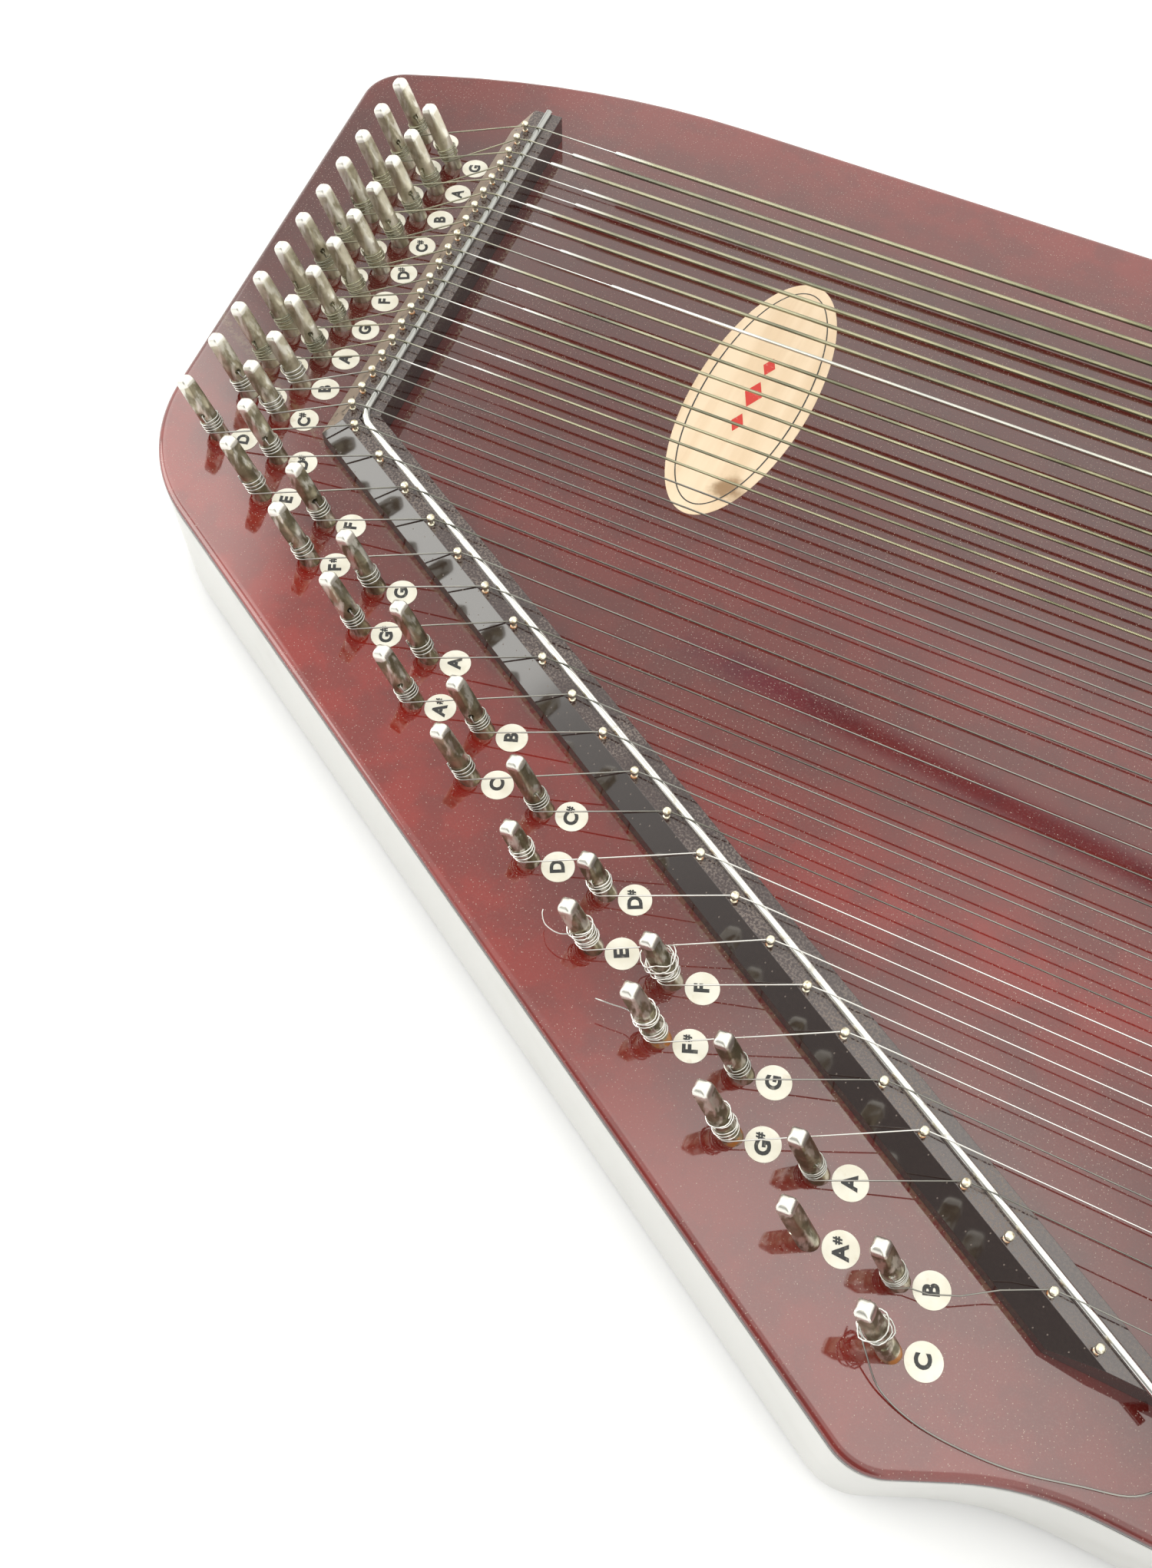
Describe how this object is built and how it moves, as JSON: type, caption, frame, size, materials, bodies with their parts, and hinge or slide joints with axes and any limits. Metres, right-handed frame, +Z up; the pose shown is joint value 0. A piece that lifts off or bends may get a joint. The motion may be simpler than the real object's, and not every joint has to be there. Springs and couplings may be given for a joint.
{
  "type": "chorded zither",
  "caption": "Chorded zither: shallow lacquered wooden box with pin-tuned strings over a black bridge with a bent steel rod, paper note labels and sprung, felted chord bars",
  "frame": {"origin": "centre of the body's footprint, on the surface that its feet rest on", "axes": "+X along the strings from the tuning pins to the hitch pins, +Y across the strings from treble to bass, +Z up out of the soundboard"},
  "size_m": [0.5748, 0.35, 0.0827],
  "materials": {
    "red_lacquer": "deep wine-red high-gloss lacquer over wood",
    "grey_lacquer": "light grey gloss lacquer over wood",
    "spruce": "bare sawn spruce",
    "black_wood": "black gloss lacquered hardwood, dusty",
    "steel_rod": "polished steel",
    "small_pins": "nickel plated with rust specks",
    "worn_nickel": "worn nickel plating with brown patina",
    "wound_wire": "aged brass winding on steel core",
    "plain_wire": "drawn steel, partly tarnished",
    "note_paper": "cream paper",
    "label_paper": "varnished cream paper with a thin border",
    "black_plastic": "satin black",
    "spring_steel": "bright spring wire",
    "bar_black": "satin black paint over wood",
    "red_felt": "dense wool felt",
    "ivory": "ivory gloss",
    "rubber": "matt black rubber",
    "screw_steel": "zinc plated"
  },
  "bodies": {
    "box": {"soundboard": "red_lacquer", "back_plate": "grey_lacquer", "pin_block": "grey_lacquer", "hitch_block": "grey_lacquer", "side_rails": "grey_lacquer", "braces": "spruce", "bridge_base_end": "black_wood", "bridge_base_diagonal": "black_wood", "bridge_rods": "steel_rod", "bridge_pins": "small_pins", "hitch_bridge": "black_wood", "hitch_pins": "small_pins", "tuning_pins": "worn_nickel", "wound_strings": "wound_wire", "plain_strings": "plain_wire", "loose_string": "plain_wire", "note_labels": "note_paper", "paper_label": "label_paper", "bar_holder_bass": "black_plastic", "bar_holder_treble": "black_plastic", "bar_springs": "spring_steel", "feet": "rubber", "screws": "screw_steel"},
    "bare_pin": {"bare_tuning_pin": "worn_nickel"},
    "bar_1": {"chord_bar_1": "bar_black", "felts_1": "red_felt", "button_1": "ivory"},
    "bar_2": {"chord_bar_2": "bar_black", "felts_2": "red_felt", "button_2": "ivory"},
    "bar_3": {"chord_bar_3": "bar_black", "felts_3": "red_felt", "button_3": "ivory"},
    "bar_4": {"chord_bar_4": "bar_black", "felts_4": "red_felt", "button_4": "ivory"},
    "bar_5": {"chord_bar_5": "bar_black", "felts_5": "red_felt", "button_5": "ivory"},
    "bar_6": {"chord_bar_6": "bar_black", "felts_6": "red_felt", "button_6": "ivory"},
    "bar_7": {"chord_bar_7": "bar_black", "felts_7": "red_felt", "button_7": "ivory"},
    "bar_8": {"chord_bar_8": "bar_black", "felts_8": "red_felt", "button_8": "ivory"},
    "bar_9": {"chord_bar_9": "bar_black", "felts_9": "red_felt", "button_9": "ivory"},
    "bar_10": {"chord_bar_10": "bar_black", "felts_10": "red_felt", "button_10": "ivory"},
    "bar_11": {"chord_bar_11": "bar_black", "felts_11": "red_felt", "button_11": "ivory"},
    "bar_12": {"chord_bar_12": "bar_black", "felts_12": "red_felt", "button_12": "ivory"}
  },
  "joints": [
    {"name": "bare_pin_turn", "type": "hinge", "parent": "box", "child": "bare_pin", "pos_m": [-0.02042, -0.13834, 0.044], "axis": [-0.3714, 0, 0.9285], "continuous": true},
    {"name": "bar_1_press", "type": "slide", "parent": "box", "child": "bar_1", "axis": [0, 0, -1], "range_m": [0, 0.004], "stiffness_N_per_m": 300, "springref_m": -0.004, "deforming": ["bar_springs"]},
    {"name": "bar_2_press", "type": "slide", "parent": "box", "child": "bar_2", "axis": [0, 0, -1], "range_m": [0, 0.004], "stiffness_N_per_m": 300, "springref_m": -0.004, "deforming": ["bar_springs"]},
    {"name": "bar_3_press", "type": "slide", "parent": "box", "child": "bar_3", "axis": [0, 0, -1], "range_m": [0, 0.004], "stiffness_N_per_m": 300, "springref_m": -0.004, "deforming": ["bar_springs"]},
    {"name": "bar_4_press", "type": "slide", "parent": "box", "child": "bar_4", "axis": [0, 0, -1], "range_m": [0, 0.004], "stiffness_N_per_m": 300, "springref_m": -0.004, "deforming": ["bar_springs"]},
    {"name": "bar_5_press", "type": "slide", "parent": "box", "child": "bar_5", "axis": [0, 0, -1], "range_m": [0, 0.004], "stiffness_N_per_m": 300, "springref_m": -0.004, "deforming": ["bar_springs"]},
    {"name": "bar_6_press", "type": "slide", "parent": "box", "child": "bar_6", "axis": [0, 0, -1], "range_m": [0, 0.004], "stiffness_N_per_m": 300, "springref_m": -0.004, "deforming": ["bar_springs"]},
    {"name": "bar_7_press", "type": "slide", "parent": "box", "child": "bar_7", "axis": [0, 0, -1], "range_m": [0, 0.004], "stiffness_N_per_m": 300, "springref_m": -0.004, "deforming": ["bar_springs"]},
    {"name": "bar_8_press", "type": "slide", "parent": "box", "child": "bar_8", "axis": [0, 0, -1], "range_m": [0, 0.004], "stiffness_N_per_m": 300, "springref_m": -0.004, "deforming": ["bar_springs"]},
    {"name": "bar_9_press", "type": "slide", "parent": "box", "child": "bar_9", "axis": [0, 0, -1], "range_m": [0, 0.004], "stiffness_N_per_m": 300, "springref_m": -0.004, "deforming": ["bar_springs"]},
    {"name": "bar_10_press", "type": "slide", "parent": "box", "child": "bar_10", "axis": [0, 0, -1], "range_m": [0, 0.004], "stiffness_N_per_m": 300, "springref_m": -0.004, "deforming": ["bar_springs"]},
    {"name": "bar_11_press", "type": "slide", "parent": "box", "child": "bar_11", "axis": [0, 0, -1], "range_m": [0, 0.004], "stiffness_N_per_m": 300, "springref_m": -0.004, "deforming": ["bar_springs"]},
    {"name": "bar_12_press", "type": "slide", "parent": "box", "child": "bar_12", "axis": [0, 0, -1], "range_m": [0, 0.004], "stiffness_N_per_m": 300, "springref_m": -0.004, "deforming": ["bar_springs"]}
  ]
}
